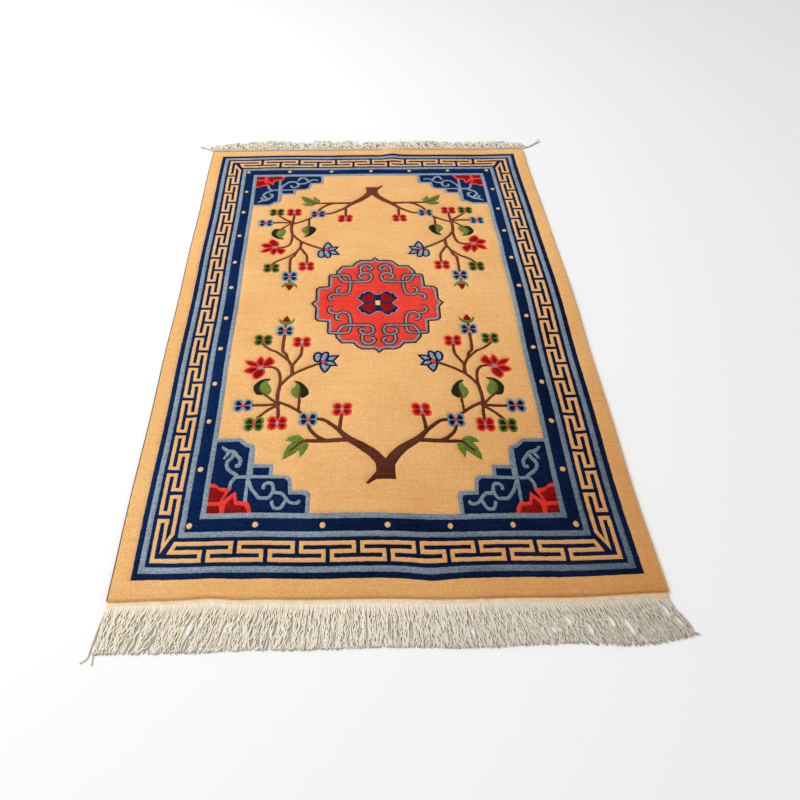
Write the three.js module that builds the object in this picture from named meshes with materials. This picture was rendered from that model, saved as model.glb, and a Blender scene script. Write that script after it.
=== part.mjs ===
import * as THREE from 'three';

// A hand-knotted Tibetan rug lying flat on a floor, with a short flat-woven ledge at each end
// and a fringe of cords past each ledge. Millimetres, +Z up. X runs across the rug and Y along
// it. The near end, whose fringe lies combed out, is at -Y.

// Woven body
const HALF_WIDTH = 608;
const PILE_HALF_LENGTH = 889;
const LEDGE_HALF_LENGTH = 900.5;
const PILE_THICKNESS = 11;
const SHOULDER_HEIGHT = 8.5;
const SHOULDER_RUN = 4;
const PILE_FOOT_RUN = 0.6;
const LEDGE_THICKNESS = 3;

// The woven outline's centre, measured from the middle of the whole rug with its fringes
const OUTLINE_X = -10.5;
const OUTLINE_Y = 26.9;

// Lengthwise ridge left at the far end by folding
const RIDGE_X = 95;
const RIDGE_HALF_WIDTH = 30;
const RIDGE_SPAN = 80;
const RIDGE_HEIGHT = 8;
const RIDGE_START_Y = 735;
const RIDGE_FULL_Y = 893;
const RIDGE_FADE_Y = 900;
const RIDGE_END_Y = 955;
const RIDGE_CUT = 0.4;

// Cells of the body's surface, finer over the ridge than elsewhere
const COLUMNS = { left: 10, ridge: 12, right: 7 };
const ROWS = { plain: 24, ridge: 8 };
const RIDGE_ROWS_FROM = 720;

// Fringes
const FRINGE_GAP = 0.3;
const HEADING_WIDTH = 6;
const ROOT_FILL = 0.86;
const TIP_FILL = 0.74;
const TIP_SWAY = 1.6;
const RAGGEDNESS = 3;
const KNEE = 0.5;
const KNEE_LEAN = 0.4;

// Steps in radians from one tooth to the next, which make its wander look irregular
const WANDER_STEP = 2.399;
const WANDER_BEAT = 0.731;

const WOOL_COLOUR = 0xe8b478;
const COTTON_COLOUR = 0xe4d3a8;
const WOOL_ROUGHNESS = 0.95;
const COTTON_ROUGHNESS = 0.9;

// Ripple of all edges: its height, and its wavelengths over a full turn of 2 pi
const RIPPLE = 1;
const RIPPLE_ALONG = 73;
const RIPPLE_ACROSS = 47;

// How the weave strays from a true rectangle: a push at (x, y) that fades over (rx, ry)
const STRAYS = [
  { name: 'right side swells', x: 600, y: 150, rx: 450, ry: 300, dx: 6.5, dy: 0 },
  { name: 'right side draws in', x: 600, y: -620, rx: 450, ry: 260, dx: -4.5, dy: 0 },
  { name: 'near left corner sags', x: -600, y: -890, rx: 70, ry: 60, dx: 0, dy: -5 },
  { name: 'near right corner lifts', x: 600, y: -890, rx: 140, ry: 60, dx: 0, dy: 6 },
  { name: 'far left bows out', x: -330, y: 860, rx: 150, ry: 120, dx: 0, dy: 4 },
  { name: 'far right bows in', x: 370, y: 860, rx: 150, ry: 120, dx: 0, dy: -3 },
];

// Lean of the near cords from straight out, in degrees, and their length, across the end
const NEAR_CORDS = [
  { x: -608, lean: -2, length: 100 },
  { x: -540, lean: -18, length: 103 },
  { x: -380, lean: -20, length: 106 },
  { x: -250, lean: -10, length: 99 },
  { x: -100, lean: -2, length: 96 },
  { x: 50, lean: 3, length: 93 },
  { x: 200, lean: 14, length: 98 },
  { x: 350, lean: 20, length: 93 },
  { x: 500, lean: 23, length: 102 },
  { x: 608, lean: 24, length: 84 },
];

// The same for the far cords, which lie curled up and so reach less far
const FAR_CORDS = [
  { x: -608, lean: -30, length: 26 },
  { x: -568, lean: -14, length: 38 },
  { x: -509, lean: -6, length: 50 },
  { x: -430, lean: 2, length: 62 },
  { x: -349, lean: 6, length: 56 },
  { x: -269, lean: -3, length: 51 },
  { x: -209, lean: -5, length: 60 },
  { x: -108, lean: 4, length: 58 },
  { x: 20, lean: -4, length: 46 },
  { x: 112, lean: 2, length: 52 },
  { x: 212, lean: 6, length: 50 },
  { x: 332, lean: -3, length: 44 },
  { x: 452, lean: 5, length: 45 },
  { x: 531, lean: 12, length: 39 },
  { x: 608, lean: 30, length: 26 },
];

// Loose selvedge cords at the corners: their middle lines from the heading outwards
const NEAR_LEFT_CORDS = [
  { width: 3, line: [[-606, -906.8], [-612, -942], [-618, -993], [-620, -1010], [-633, -1020]] },
  { width: 3, line: [[-601.5, -906.8], [-607, -953], [-610, -989], [-609, -1006], [-607, -1024]] },
];
const FAR_LEFT_CORD = { width: 6, line: [[-603, 906.8], [-630, 918], [-647, 929], [-666, 936]] };
const FAR_RIGHT_CORD = {
  width: 6,
  line: [[603, 906.8], [622, 911], [638, 917], [659, 935], [684, 958]],
};

const NEAR_COMB = {
  teeth: 64,
  from: -594,
  to: 607,
  thickness: 4,
  bunches: NEAR_CORDS,
  left: NEAR_LEFT_CORDS,
  right: [],
  end: -1,
  seed: 1,
};
const FAR_COMB = {
  teeth: 58,
  from: -598,
  to: 598,
  thickness: 6,
  bunches: FAR_CORDS,
  left: [FAR_LEFT_CORD],
  right: [FAR_RIGHT_CORD],
  end: 1,
  seed: 4,
};

const fade = (distance, reach) => Math.exp(-((distance / reach) ** 2));
const spaced = (start, end, count) =>
  Array.from({ length: count }, (_, i) => start + ((end - start) * i) / count);

// Between -1 and 1, and the same each time, for the i-th tooth
const wander = (i, seed) =>
  Math.sin(i * WANDER_STEP + seed) * Math.cos(i * WANDER_BEAT + 2 * seed);

// Where the hand-knotted weave puts a point of the true rectangle
function strayed([x, y]) {
  const moved = new THREE.Vector2(
    x + RIPPLE * Math.sin(y / RIPPLE_ALONG + 1),
    y + RIPPLE * Math.sin(x / RIPPLE_ACROSS + 2),
  );
  for (const stray of STRAYS) {
    const share = fade(x - stray.x, stray.rx) * fade(y - stray.y, stray.ry);
    moved.x += stray.dx * share;
    moved.y += stray.dy * share;
  }
  return moved;
}

// How far the fabric is lifted off the floor
function ridge(x, y) {
  const rise = THREE.MathUtils.smoothstep(y, RIDGE_START_Y, RIDGE_FULL_Y);
  const drop = 1 - THREE.MathUtils.smoothstep(y, RIDGE_FADE_Y, RIDGE_END_Y);
  const crest = RIDGE_HEIGHT * fade(x - RIDGE_X, RIDGE_HALF_WIDTH);
  return Math.max(0, crest * rise * drop - RIDGE_CUT);
}

// A table's column at x, on a straight line between the two rows beside it
function across(table, x, column) {
  const after = Math.max(1, table.findIndex((row) => row.x >= x));
  const [a, b] = [table[after - 1], table[after]];
  return THREE.MathUtils.mapLinear(x, a.x, b.x, a[column], b[column]);
}

// Stations across the rug, which crowd at the rounded pile edges and over the ridge
function acrossStations() {
  const inner = HALF_WIDTH - SHOULDER_RUN;
  const [ridgeLeft, ridgeRight] = [RIDGE_X - RIDGE_SPAN, RIDGE_X + RIDGE_SPAN];
  const left = [-HALF_WIDTH, ...spaced(-inner, ridgeLeft, COLUMNS.left)];
  const middle = spaced(ridgeLeft, ridgeRight, COLUMNS.ridge);
  const right = [...spaced(ridgeRight, inner, COLUMNS.right), inner, HALF_WIDTH];
  return [...left, ...middle, ...right];
}

// Stations along the rug, with one pair at each end where the pile rises from its ledge
function alongStations() {
  const crest = PILE_HALF_LENGTH - PILE_FOOT_RUN;
  const plateau = crest - SHOULDER_RUN;
  const near = [-LEDGE_HALF_LENGTH, -PILE_HALF_LENGTH, -crest];
  const plain = spaced(-plateau, RIDGE_ROWS_FROM, ROWS.plain);
  const ridged = spaced(RIDGE_ROWS_FROM, plateau, ROWS.ridge);
  return [...near, ...plain, ...ridged, plateau, crest, PILE_HALF_LENGTH, LEDGE_HALF_LENGTH];
}

function topHeight(x, y) {
  if (Math.abs(y) > PILE_HALF_LENGTH - PILE_FOOT_RUN / 2) {
    return LEDGE_THICKNESS;
  }
  const fromSide = HALF_WIDTH - Math.abs(x);
  const fromEnd = PILE_HALF_LENGTH - PILE_FOOT_RUN - Math.abs(y);
  const inward = Math.min(fromSide, fromEnd, SHOULDER_RUN) / SHOULDER_RUN;
  return THREE.MathUtils.lerp(SHOULDER_HEIGHT, PILE_THICKNESS, inward);
}

// The body: a thin slab, its stations moved to the rug's outline and heights
function bodyGeometry() {
  const stationsX = acrossStations();
  const stationsY = alongStations();
  const columns = stationsX.length - 1;
  const rows = stationsY.length - 1;
  const slab = new THREE.BoxGeometry(columns, rows, 1, columns, rows, 1);
  const position = slab.getAttribute('position');
  for (let i = 0; i < position.count; i += 1) {
    const x = stationsX[Math.round(position.getX(i) + columns / 2)];
    const y = stationsY[Math.round(position.getY(i) + rows / 2)];
    const isTop = position.getZ(i) > 0;
    const place = strayed([x, y]);
    const base = ridge(place.x, place.y);
    position.setXYZ(i, place.x, place.y, base + (isTop ? topHeight(x, y) : 0));
  }
  return slab;
}

// One tooth of a comb: a bunch of cords that lie together
function toothAt(i, comb) {
  const pitch = (comb.to - comb.from) / comb.teeth;
  const root = comb.from + pitch * (i + 0.5);
  const lean = THREE.MathUtils.degToRad(across(comb.bunches, root, 'lean'));
  const length = across(comb.bunches, root, 'length') + RAGGEDNESS * wander(i, comb.seed);
  const reach = Math.sin(lean) * length + TIP_SWAY * wander(i, comb.seed + 1);
  return { root, pitch, reach, out: comb.end * Math.cos(lean) * length };
}

function nearestTip(tips, i) {
  const beside = [i - 1, i + 1].filter((j) => j in tips);
  return Math.min(...beside.map((j) => Math.abs(tips[j] - tips[i])));
}

// Every tooth has its root, its knee, where the cords bend, and its tip
function teethOutline(comb, rootY) {
  const teeth = Array.from({ length: comb.teeth }, (_, i) => toothAt(i, comb));
  const tips = teeth.map((tooth) => tooth.root + tooth.reach);
  return teeth.flatMap((tooth, i) => {
    const rootHalf = (tooth.pitch * ROOT_FILL) / 2;
    const tipHalf = (Math.min(nearestTip(tips, i), tooth.pitch) * TIP_FILL) / 2;
    const kneeHalf = (rootHalf + tipHalf) / 2;
    const kneeX = tooth.root + tooth.reach * KNEE_LEAN;
    const kneeY = rootY + tooth.out * KNEE;
    const tipY = rootY + tooth.out;
    return [
      [tooth.root - rootHalf, rootY],
      [kneeX - kneeHalf, kneeY],
      [tips[i] - tipHalf, tipY],
      [tips[i] + tipHalf, tipY],
      [kneeX + kneeHalf, kneeY],
      [tooth.root + rootHalf, rootY],
    ];
  });
}

// A loose cord's outline: its middle line widened to both sides, squarely at the heading
function cordOutline({ width, line }, end) {
  const left = [];
  const right = [];
  line.forEach(([x, y], i) => {
    const [fromX, fromY] = i ? line[i - 1] : [x, y - end];
    const [toX, toY] = i ? (line[i + 1] ?? [x, y]) : [x, y];
    const scale = (end * width) / 2 / Math.hypot(toX - fromX, toY - fromY);
    const offX = (fromY - toY) * scale;
    const offY = (toX - fromX) * scale;
    left.push([x + offX, y + offY]);
    right.unshift([x - offX, y - offY]);
  });
  return [...left, ...right];
}

// A whole fringe: one comb along the ledge, raised to its thickness and laid over the ridge
function fringeGeometry(comb) {
  const headingY = comb.end * (LEDGE_HALF_LENGTH + FRINGE_GAP);
  const rootY = headingY + comb.end * HEADING_WIDTH;
  const heading = acrossStations().map((x) => [x, headingY]).reverse();
  const outline = [
    [-HALF_WIDTH, rootY],
    ...comb.left.flatMap((cord) => cordOutline(cord, comb.end)),
    ...teethOutline(comb, rootY),
    ...comb.right.flatMap((cord) => cordOutline(cord, comb.end)),
    [HALF_WIDTH, rootY],
    ...heading,
  ];
  const shape = new THREE.Shape(outline.map(strayed));
  const slab = new THREE.ExtrudeGeometry(shape, { depth: comb.thickness, bevelEnabled: false });
  const position = slab.getAttribute('position');
  for (let i = 0; i < position.count; i += 1) {
    position.setZ(i, position.getZ(i) + ridge(position.getX(i), position.getY(i)));
  }
  return slab;
}

function clothMaterial(color, roughness) {
  return new THREE.MeshStandardMaterial({ color, roughness, metalness: 0 });
}

function named(name, geometry, material) {
  geometry.computeVertexNormals();
  const mesh = new THREE.Mesh(geometry, material);
  mesh.name = name;
  return mesh;
}

const rug = new THREE.Group();
rug.position.set(OUTLINE_X, OUTLINE_Y, 0);
rug.add(
  named('rug_body', bodyGeometry(), clothMaterial(WOOL_COLOUR, WOOL_ROUGHNESS)),
  named('fringe_near', fringeGeometry(NEAR_COMB), clothMaterial(COTTON_COLOUR, COTTON_ROUGHNESS)),
  named('fringe_far', fringeGeometry(FAR_COMB), clothMaterial(COTTON_COLOUR, COTTON_ROUGHNESS)),
);

export default rug;
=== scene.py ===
"""Looks of a hand-knotted Tibetan wool rug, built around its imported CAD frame.

The weaver's chart, the fringes and all other sizes are in millimetres. They become metres when a
mesh is made. The chart is drawn for one quarter of the rug and turned into the other three, and
then laid where the hand-knotted weave puts it.
"""

import logging
import math
import random
from collections.abc import Sequence
from dataclasses import dataclass
from enum import Enum

import bmesh
import bpy
import numpy as np
from mathutils import Matrix, Vector, noise
from mathutils.geometry import delaunay_2d_cdt
from mathutils.kdtree import KDTree


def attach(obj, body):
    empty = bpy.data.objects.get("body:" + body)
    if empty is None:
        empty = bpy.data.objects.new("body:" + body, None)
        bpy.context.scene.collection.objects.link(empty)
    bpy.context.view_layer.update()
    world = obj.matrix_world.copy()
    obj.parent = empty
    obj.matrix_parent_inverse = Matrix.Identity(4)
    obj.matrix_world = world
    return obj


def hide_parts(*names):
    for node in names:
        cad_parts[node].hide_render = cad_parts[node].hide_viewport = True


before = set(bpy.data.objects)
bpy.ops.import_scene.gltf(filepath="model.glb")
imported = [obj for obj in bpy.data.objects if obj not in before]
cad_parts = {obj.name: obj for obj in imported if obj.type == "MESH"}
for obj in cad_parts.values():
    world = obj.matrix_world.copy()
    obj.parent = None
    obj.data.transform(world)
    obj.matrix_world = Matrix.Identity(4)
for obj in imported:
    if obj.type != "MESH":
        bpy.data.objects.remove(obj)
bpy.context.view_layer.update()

BODY = "root"
MM = 0.001

Point = tuple[float, float]
Line = list[Point]
Colour = tuple[float, float, float, float]
Triple = tuple[float, float, float]
Outlines = Sequence[tuple[int, np.ndarray]]
Socket = bpy.types.NodeSocket
Inputs = dict[str | int, object]

NAVY_HALF_WIDTH = 564
NAVY_HALF_LENGTH = 846

log = logging.getLogger("rug")


class Yarn(Enum):
    """The dyed yarns of the pile. The value is the slot of the yarn's material on the pile."""

    CAMEL = 0
    NAVY = 1
    SKY = 2
    CORAL = 3
    RUBY = 4
    LEAF = 5
    PINE = 6
    BARK = 7
    CREAM = 8
    UMBER = 9
    # the overcast sides, with painted shade darkening them along the left side
    SELVEDGE_PAINTED_SHADE = 10


# ---------------------------------------------------------------- lines and outlines


def disc(at: Point, across: float, along: float, count: int = 14) -> Line:
    """An ellipse's outline.

    Args:
        at: Its middle.
        across: Half its width.
        along: Half its length.
        count: Points on it.

    Returns:
        The closed outline.
    """
    turns = [2 * math.pi * i / count for i in range(count)]
    return [(at[0] + across * math.cos(a), at[1] + along * math.sin(a)) for a in turns]


def smooth(line: Sequence[Point], closed: bool = False, steps: int = 4) -> Line:
    """A smooth line through all points of a rough one.

    Args:
        line: The points it passes.
        closed: Whether its end joins its start.
        steps: Points for each stretch of the rough line.

    Returns:
        The smooth line.
    """
    count = len(line)
    made = []
    for i in range(count if closed else count - 1):
        if closed:
            a, b, c, d = (Vector(line[(i + k) % count]) for k in (-1, 0, 1, 2))
        else:
            a, b, c, d = (Vector(line[min(max(i + k, 0), count - 1)]) for k in (-1, 0, 1, 2))
        for step in range(steps):
            t = step / steps
            bend = (2 * a - 5 * b + 4 * c - d) * t**2
            spot = 2 * b + (c - a) * t + bend + (3 * b - 3 * c + d - a) * t**3
            made.append(tuple(spot / 2))
    return made if closed else [*made, tuple(line[-1])]


def ribbon(line: Sequence[Point], start: float, end: float | None = None) -> Line:
    """The outline of a stripe along a line, with mitred bends.

    Args:
        line: The stripe's middle line.
        start: Its width where the line starts.
        end: Its width where the line ends, or the same.

    Returns:
        The closed outline.
    """
    sharpest = 0.36
    spots = [Vector(p) for p in line]
    last = len(spots) - 1
    left, right = [], []
    for i, spot in enumerate(spots):
        go = (spots[min(i + 1, last)] - spots[min(i, last - 1)]).normalized()
        come = (spots[max(i, 1)] - spots[max(i - 1, 0)]).normalized()
        across = Vector((-come.y - go.y, come.x + go.x)).normalized()
        half = (start + ((end or start) - start) * i / last) / 2
        reach = half / max(across.dot(Vector((-come.y, come.x))), sharpest)
        left.append(tuple(spot + across * reach))
        right.append(tuple(spot - across * reach))
    return left + right[::-1]


def inset(outline: Sequence[Point], depth: float) -> Line:
    """A closed outline moved inwards all round.

    Args:
        outline: The closed outline.
        depth: How far each side moves. Below nought it moves outwards.

    Returns:
        The smaller outline.
    """
    spots = [Vector(p) for p in outline]
    area = sum(a.cross(b) for a, b in zip(spots, spots[1:] + spots[:1], strict=True))
    inward = depth if area > 0 else -depth
    made = []
    for i, spot in enumerate(spots):
        come = (spot - spots[i - 1]).normalized()
        go = (spots[(i + 1) % len(spots)] - spot).normalized()
        across = Vector((-come.y - go.y, come.x + go.x)).normalized()
        made.append(tuple(spot + across * (inward / across.dot(Vector((-come.y, come.x))))))
    return made


def rectangle(half_width: float, half_length: float) -> Line:
    """A rectangle's outline about the middle of the chart."""
    x, y = half_width, half_length
    return [(-x, -y), (x, -y), (x, y), (-x, y)]


def four_ways(quarter: Sequence[Point]) -> Line:
    """A closed outline from its quarter, which runs from the lengthwise axis to the crosswise one."""
    half = [*quarter, *((x, -y) for x, y in reversed(quarter) if y)]
    return [*half, *((-x, y) for x, y in reversed(half) if x)]


def divided(outline: Sequence[Point], longest: float) -> np.ndarray:
    """A closed outline with no stretch longer than a limit.

    Args:
        outline: The closed outline.
        longest: The limit.

    Returns:
        Its points, one a row.
    """
    ends = np.array(outline, float)
    made = []
    for a, b in zip(ends, np.roll(ends, -1, axis=0), strict=True):
        parts = max(1, math.ceil(float(np.hypot(*(b - a))) / longest))
        made.append(a + (b - a) * (np.arange(parts)[:, None] / parts))
    return np.concatenate(made)


def show(thing: bpy.types.Object) -> bpy.types.Object:
    """Links an object to the scene."""
    bpy.context.scene.collection.objects.link(thing)
    return thing


def fill(mesh: bpy.types.Mesh, bm: bmesh.types.BMesh) -> bpy.types.Mesh:
    """Puts all faces into a mesh, shaded smoothly.

    Args:
        mesh: The mesh.
        bm: The faces, which are freed.

    Returns:
        The mesh.
    """
    for face in bm.faces:
        face.smooth = True
    bm.to_mesh(mesh)
    bm.free()
    return mesh


# ---------------------------------------------------------------- the weave


@dataclass(frozen=True)
class Push:
    """One place where the hand-knotted weave strays, and how far that is felt."""

    x: float
    y: float
    reach_x: float
    reach_y: float
    dx: float
    dy: float

    def moved(self, spots: np.ndarray) -> np.ndarray:
        """How far it moves each spot."""
        apart = (spots - (self.x, self.y)) / (self.reach_x, self.reach_y)
        return np.exp(-(apart**2).sum(axis=1))[:, None] * (self.dx, self.dy)


OUTLINE_PUSHES = tuple(
    Push(*row)
    for row in (
        (600, 150, 450, 300, 6.5, 0), (600, -620, 450, 260, -4.5, 0), (640, 0, 150, 1500, 5, 0),
        (-600, -890, 70, 60, 0, -5), (600, -890, 140, 60, 0, 6), (-330, 860, 150, 120, 0, 4),
        (370, 860, 150, 120, 0, -3), (-395, -895, 45, 60, 0, 3.5), (-325, -895, 35, 60, 0, -2),
        (180, -895, 260, 60, 0, -2.5), (-310, 895, 70, 50, 0, -3.5), (150, 895, 35, 50, 0, 5),
        (350, 895, 60, 50, 0, 3),
    )
)
PATTERN_PUSHES = tuple(
    Push(*row)
    for row in (
        # the middle and the two thirds of the field
        (0, 0, 600, 190, 0, -6), (0, -430, 420, 190, 0, 5), (0, 430, 420, 190, 0, 5),
        (-260, 0, 150, 300, 3, 0),
        # the trees
        (-100, -500, 80, 110, -9, 0), (100, -500, 80, 110, 10, 0), (-95, 500, 80, 110, 10, 0),
        (95, 500, 80, 110, -10, 0), (0, -590, 60, 60, 6, 0), (0, 600, 60, 60, 3, 0),
        # the sprays
        (320, -440, 170, 110, 0, -6), (-280, -450, 150, 110, 0, 3), (200, -480, 100, 100, 4, -2),
        (-330, 390, 150, 110, 0, -6), (345, 285, 80, 60, 9, 7), (-330, 270, 80, 60, 4, -4),
        (-272, 85, 120, 60, 0, -5), (272, 75, 110, 60, 0, -8),
        # the corner pieces
        (0, 655, 700, 80, 0, -5), (-330, 600, 100, 100, 0, -6), (330, 600, 100, 100, 3, -7),
        (-215, 665, 60, 60, 9, 0), (330, -600, 110, 110, 2, -6),
        # the border
        (600, 0, 110, 1500, 2, 0), (0, 870, 1200, 75, 0, 8.5), (-180, 790, 160, 60, 9, 0),
        (60, 790, 120, 60, 3, 0), (400, 790, 80, 60, -4, 0), (-380, -790, 120, 60, -4, 0),
        (280, -790, 150, 60, 3, 0), (300, -720, 400, 120, 0, -4), (150, -700, 130, 60, 0, -4),
        (90, -840, 45, 50, 0, -5), (-510, -450, 50, 130, 0, -8), (510, -470, 50, 140, 0, -13),
        (510, 320, 50, 140, 0, 15),
    )
)


@dataclass(frozen=True)
class Weave:
    """Where the weave puts a point of the chart, and how high the floor side of the cloth lies."""

    half_width: float = 608
    pile_half_length: float = 889
    ledge_half_length: float = 900.5
    centre: Point = (-10.5, 26.9)
    ripple_lengths: Point = (73, 47)
    drift_along: float = 33
    drift_across: float = 7
    drift_across_reach: float = 260
    side_band: Point = (455, 485)
    side_drift_share: float = 0.25
    side_drift_rows: Point = (200, 650)
    wobble: float = 0.9
    wobble_length: float = 9
    wobble_planes: Point = (0.5, 40.5)
    ridge_x: float = 95
    ridge_half_width: float = 30
    ridge_height: float = 8
    ridge_rise: Point = (735, 893)
    ridge_drop: Point = (900, 955)
    ridge_cut: float = 0.4
    digits: int = 5

    @staticmethod
    def step(values: np.ndarray, span: Point) -> np.ndarray:
        """A smooth step from 0 to 1 over a span."""
        t = np.clip((values - span[0]) / (span[1] - span[0]), 0, 1)
        return t * t * (3 - 2 * t)

    def edge(self, spots: Sequence[Point] | np.ndarray) -> np.ndarray:
        """Lays points of the true rectangle where the rug's outline has them.

        Args:
            spots: Points measured from the middle of the woven rectangle.

        Returns:
            The points in the part's frame, one a row.
        """
        at = np.array(spots, float).reshape(-1, 2)
        along, across = self.ripple_lengths
        ripple = np.stack([np.sin(at[:, 1] / along + 1), np.sin(at[:, 0] / across + 2)], axis=1)
        laid = at + ripple + sum(p.moved(at) for p in OUTLINE_PUSHES) + self.centre
        # rounded, so that last digits that can differ from run to run don't change the net
        return np.round(laid, self.digits)

    def pattern(self, spots: Sequence[Point] | np.ndarray) -> np.ndarray:
        """Lays points of the chart where the knotted pattern has them.

        Args:
            spots: Points of the chart.

        Returns:
            The points in the part's frame, one a row.
        """
        at = np.array(spots, float).reshape(-1, 2)
        x, y = at[:, 0], at[:, 1]
        drift = self.drift_along * (1 - np.minimum(np.abs(y / NAVY_HALF_LENGTH), 1) ** 3)
        rows = self.step(np.abs(y), self.side_drift_rows)
        held = self.side_drift_share + (1 - self.side_drift_share) * rows
        drift = drift * (1 - self.step(np.abs(x), self.side_band) * (1 - held))
        sideways = self.drift_across * np.exp(-((x / self.drift_across_reach) ** 2))
        laid = at + np.stack([sideways, drift], axis=1) + sum(p.moved(at) for p in PATTERN_PUSHES)
        spots = at / self.wobble_length
        shake = [[noise.noise((a, b, plane)) for plane in self.wobble_planes] for a, b in spots]
        return self.edge(laid + self.wobble * np.array(shake))

    def lift(self, spots: np.ndarray) -> np.ndarray:
        """How far the cloth's underside is off the floor.

        Args:
            spots: Points of the part's frame, one a row.

        Returns:
            The height at each of them.
        """
        x, y = (spots - self.centre).T
        rise = self.step(y, self.ridge_rise) * (1 - self.step(y, self.ridge_drop))
        crest = self.ridge_height * np.exp(-(((x - self.ridge_x) / self.ridge_half_width) ** 2))
        return np.round(np.maximum(0, crest * rise - self.ridge_cut), self.digits)


# ---------------------------------------------------------------- the weaver's chart


@dataclass(frozen=True)
class Patch:
    """One patch of a single yarn on the chart."""

    yarn: Yarn
    outline: Line


@dataclass(frozen=True)
class Quarter:
    """One quarter of the chart, and the way its drawing is turned."""

    right: int
    far: int

    def turned(self, line: Sequence[Point], at: Point = (0, 0)) -> Line:
        """A line of the quarter's drawing, moved by at, on the whole chart."""
        return [(self.right * (x + at[0]), self.far * (y + at[1])) for x, y in line]


QUARTERS = tuple(Quarter(right, far) for far in (-1, 1) for right in (-1, 1))


class Chart:
    """The whole pattern as patches, of which a later one covers an earlier one.

    In a quarter's drawing x runs outwards from the lengthwise axis, and y outwards from the
    crosswise one.
    """

    def __init__(self) -> None:
        """Draws all of the pattern."""
        self.patches: list[Patch] = []
        self.stripes()
        for quarter in QUARTERS:
            self.fret(quarter)
            Spandrel(self, quarter).draw()
            Spray(self, quarter).draw()
        self.pearls()
        self.trunk(1)
        self.trunk(-1)
        Medallion(self).draw()

    def add(self, yarn: Yarn, outline: Line) -> None:
        """Adds a patch."""
        self.patches.append(Patch(yarn, outline))

    def stripes(self) -> None:
        """Adds the plain stripes of the border, from the outermost inwards."""
        inward = (
            (-1, Yarn.NAVY),
            (12, Yarn.SKY),
            (25, Yarn.NAVY),
            (89, Yarn.SKY),
            (102, Yarn.NAVY),
            (132, Yarn.SKY),
            (145, Yarn.CAMEL),
        )
        for offset, yarn in inward:
            self.add(yarn, rectangle(NAVY_HALF_WIDTH - offset, NAVY_HALF_LENGTH - offset))

    def fret(self, quarter: Quarter) -> None:
        """Adds one quarter of the key fret: a single line that runs along three rows.

        Args:
            quarter: The quarter.
        """
        outer, middle, inner = 38.5, 57.0, 75.5
        width, half_gap = 9.4, 9.5

        def run(period: float, count: int, hook: Line) -> Line:
            """The line along one side.

            Args:
                period: The length of one repeat.
                count: The repeats.
                hook: What follows on them before the corner.

            Returns:
                Its points, each as its distance from the axis and its row.
            """
            spots = []
            for k in range(count):
                start, half, end = k * period, (k + 0.5) * period, (k + 1) * period
                spots += [(half - half_gap, inner), (half - half_gap, middle)]
                spots += [(start + half_gap, middle), (start + half_gap, outer)]
                spots += [(end - half_gap, outer), (end - half_gap, middle)]
                spots += [(half + half_gap, middle), (half + half_gap, inner)]
            last = count * period + half_gap
            return [(0, inner), *spots, *hook, (last, middle), (last, outer)]

        # the end's line stops one half repeat before the corner, where its hook begins
        end = [(s, NAVY_HALF_LENGTH - row) for s, row in run(136, 3, [(478, inner), (487, middle)])]
        side = [(NAVY_HALF_WIDTH - row, s) for s, row in run(118, 6, [(748, inner), (780, middle)])]
        line = [*end, (NAVY_HALF_WIDTH - outer, NAVY_HALF_LENGTH - outer), *reversed(side)]
        self.add(Yarn.CAMEL, ribbon(quarter.turned(line), width))

    def pearls(self) -> None:
        """Adds the dots on the navy band, spaced by eye along the sides as the weaver did."""
        far_row, near_row, side_row = 733, -729.5, 450
        half_width, half_length = 6.8, 7.2
        across = (-453, -301, -148, 2, 150, 299, 448)
        left = (599, 466, 331, 191, 71, -65, -191, -322, -447, -587)
        right = (602, 471, 339, 200, 68, -67, -196, -324, -449, -591)
        spots = [(x, y) for x in across for y in (far_row, near_row)]
        spots += [(-side_row, y) for y in left] + [(side_row, y) for y in right]
        for x, y in spots:
            turn = noise.noise((x / 9, y / 9, 0))
            self.add(Yarn.CREAM, disc((x, y), half_width + turn, half_length - turn, 9))

    def trunk(self, end: int) -> None:
        """Adds the tree trunk of one end, with one root spur.

        Args:
            end: 1 for the near end, or -1 for the far one, which is turned about.
        """
        left = [(0, -564), (-25, -562), (-23, -590), (-24, -600), (-46, -628), (-41, -632), (-22, -619)]
        right = [(24, -619), (21, -592), (25, -562)]
        self.add(Yarn.BARK, [(-end * x, end * -y) for x, y in (*left, *right)])


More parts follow.
